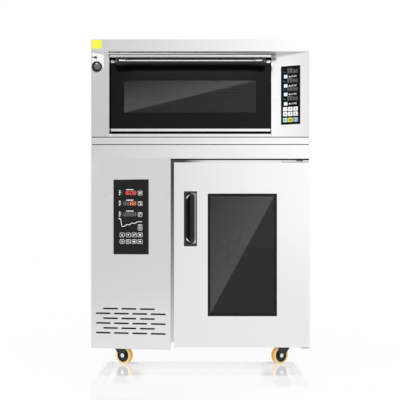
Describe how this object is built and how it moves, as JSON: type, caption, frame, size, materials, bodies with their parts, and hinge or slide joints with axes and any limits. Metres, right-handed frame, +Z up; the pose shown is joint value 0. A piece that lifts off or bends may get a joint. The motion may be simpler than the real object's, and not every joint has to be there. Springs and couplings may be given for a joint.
{
  "type": "deck oven with proofing cabinet",
  "caption": "Floor-standing bakery unit: an electric deck oven with a drop-down glass door on a wheeled retarder-proofer cabinet with a side-hung glazed door.",
  "frame": {"origin": "on the floor, at the centre of the part's bounding box seen from above", "axes": "+Z up, -Y towards the person at the front, +X to that person's right"},
  "size_m": [1.22, 0.972, 1.822],
  "materials": {
    "stainless_steel": "brushed stainless sheet",
    "zinc_plate": "galvanised sheet and zinc-plated fittings",
    "black_metal": "black paint or dark oxide",
    "black_plastic": "moulded black",
    "grey_plastic": "moulded grey",
    "control_panel": "gloss black keypad film on a plate",
    "smoked_glass": "dark tinted toughened glass",
    "clear_glass": "clear toughened glass",
    "seal_rubber": "matt",
    "insulation": "mineral wool batts and foam",
    "wheel_tyre": "orange polyurethane tread on a dark hub"
  },
  "bodies": {
    "cabinet": {"base_frame": "zinc_plate", "proofer_left_side": "stainless_steel", "proofer_right_side": "stainless_steel", "proofer_back": "zinc_plate", "proofer_top_panel": "stainless_steel", "machine_bay_cover": "stainless_steel", "proofer_liner": "stainless_steel", "proofer_insulation": "insulation", "tray_rack_left": "stainless_steel", "tray_rack_right": "stainless_steel", "proofer_control_panel": "control_panel", "compressor": "black_metal", "condenser_coil": "zinc_plate", "air_duct_panel": "stainless_steel", "circulation_fan_motor": "black_metal", "water_pan": "stainless_steel", "hinge_upper": "zinc_plate", "hinge_lower": "zinc_plate", "oven_base_pan": "stainless_steel", "oven_left_side": "stainless_steel", "oven_right_side": "stainless_steel", "oven_back": "zinc_plate", "oven_top_cover": "stainless_steel", "left_front_post": "stainless_steel", "right_front_post": "stainless_steel", "oven_chamber": "stainless_steel", "oven_insulation": "insulation", "hearth_plate": "stainless_steel", "upper_heater": "black_metal", "lower_heater": "black_metal", "oven_lamp": "clear_glass", "steam_flue": "stainless_steel", "oven_control_panel": "control_panel", "switch_bezel": "black_plastic", "cable_gland": "black_plastic"},
    "oven_door": {"oven_door_pan": "stainless_steel", "oven_door_glass": "smoked_glass", "oven_door_inner_glass": "clear_glass", "oven_door_gasket": "seal_rubber", "oven_handle_tube": "black_metal", "oven_handle_bracket_left": "black_plastic", "oven_handle_bracket_right": "black_plastic", "oven_door_hinge_shaft": "zinc_plate"},
    "proofer_door": {"proofer_door_skin": "stainless_steel", "proofer_door_back": "stainless_steel", "proofer_window_frame": "black_plastic", "proofer_window_glass": "smoked_glass", "proofer_door_gasket": "seal_rubber", "proofer_door_handle": "black_plastic"},
    "lamp_switch": {"switch_cap": "grey_plastic"},
    "circulation_fan": {"circulation_fan": "black_plastic"},
    "condenser_fan": {"condenser_fan": "black_plastic"},
    "swivel_front_left": {"caster_fork_front_left": "black_metal"},
    "wheel_front_left": {"caster_wheel_front_left": "wheel_tyre"},
    "swivel_front_right": {"caster_fork_front_right": "black_metal"},
    "wheel_front_right": {"caster_wheel_front_right": "wheel_tyre"},
    "swivel_rear_left": {"caster_fork_rear_left": "black_metal"},
    "wheel_rear_left": {"caster_wheel_rear_left": "wheel_tyre"},
    "swivel_rear_right": {"caster_fork_rear_right": "black_metal"},
    "wheel_rear_right": {"caster_wheel_rear_right": "wheel_tyre"}
  },
  "joints": [
    {"name": "oven_door_hinge", "type": "hinge", "parent": "cabinet", "child": "oven_door", "pos_m": [-0.055, -0.3115, 1.333], "axis": [1, 0, 0], "range_deg": [0, 90], "stiffness_Nm_per_rad": 12, "springref_deg": -14.32},
    {"name": "proofer_door_hinge", "type": "hinge", "parent": "cabinet", "child": "proofer_door", "pos_m": [0.583, -0.456, 0.6185], "axis": [0, 0, 1], "range_deg": [0, 110], "stiffness_Nm_per_rad": 1.5, "springref_deg": -17.19},
    {"name": "lamp_switch_press", "type": "slide", "parent": "cabinet", "child": "lamp_switch", "axis": [-0.342, 0.9397, 0], "range_m": [0, 0.004], "stiffness_N_per_m": 300, "springref_m": -0.003},
    {"name": "circulation_fan_spin", "type": "hinge", "parent": "cabinet", "child": "circulation_fan", "pos_m": [0.22, 0.301, 0.64], "axis": [0, 1, 0], "continuous": true},
    {"name": "condenser_fan_spin", "type": "hinge", "parent": "cabinet", "child": "condenser_fan", "pos_m": [-0.39, -0.274, 0.295], "axis": [0, 1, 0], "continuous": true},
    {"name": "swivel_front_left", "type": "hinge", "parent": "cabinet", "child": "swivel_front_left", "pos_m": [-0.462, -0.339, 0.118], "axis": [0, 0, 1], "continuous": true},
    {"name": "wheel_spin_front_left", "type": "hinge", "parent": "swivel_front_left", "child": "wheel_front_left", "pos_m": [-0.42996, -0.3575, 0.04858], "axis": [0.5, 0.866, 0], "continuous": true},
    {"name": "swivel_front_right", "type": "hinge", "parent": "cabinet", "child": "swivel_front_right", "pos_m": [0.481, -0.339, 0.118], "axis": [0, 0, 1], "continuous": true},
    {"name": "wheel_spin_front_right", "type": "hinge", "parent": "swivel_front_right", "child": "wheel_front_right", "pos_m": [0.44896, -0.3575, 0.04858], "axis": [0.5, -0.866, 0], "continuous": true},
    {"name": "swivel_rear_left", "type": "hinge", "parent": "cabinet", "child": "swivel_rear_left", "pos_m": [-0.462, 0.371, 0.118], "axis": [0, 0, 1], "continuous": true},
    {"name": "wheel_spin_rear_left", "type": "hinge", "parent": "swivel_rear_left", "child": "wheel_rear_left", "pos_m": [-0.42723, 0.38366, 0.04858], "axis": [-0.342, 0.9397, 0], "continuous": true},
    {"name": "swivel_rear_right", "type": "hinge", "parent": "cabinet", "child": "swivel_rear_right", "pos_m": [0.481, 0.371, 0.118], "axis": [0, 0, 1], "continuous": true},
    {"name": "wheel_spin_rear_right", "type": "hinge", "parent": "swivel_rear_right", "child": "wheel_rear_right", "pos_m": [0.44623, 0.38366, 0.04858], "axis": [-0.342, -0.9397, 0], "continuous": true}
  ]
}
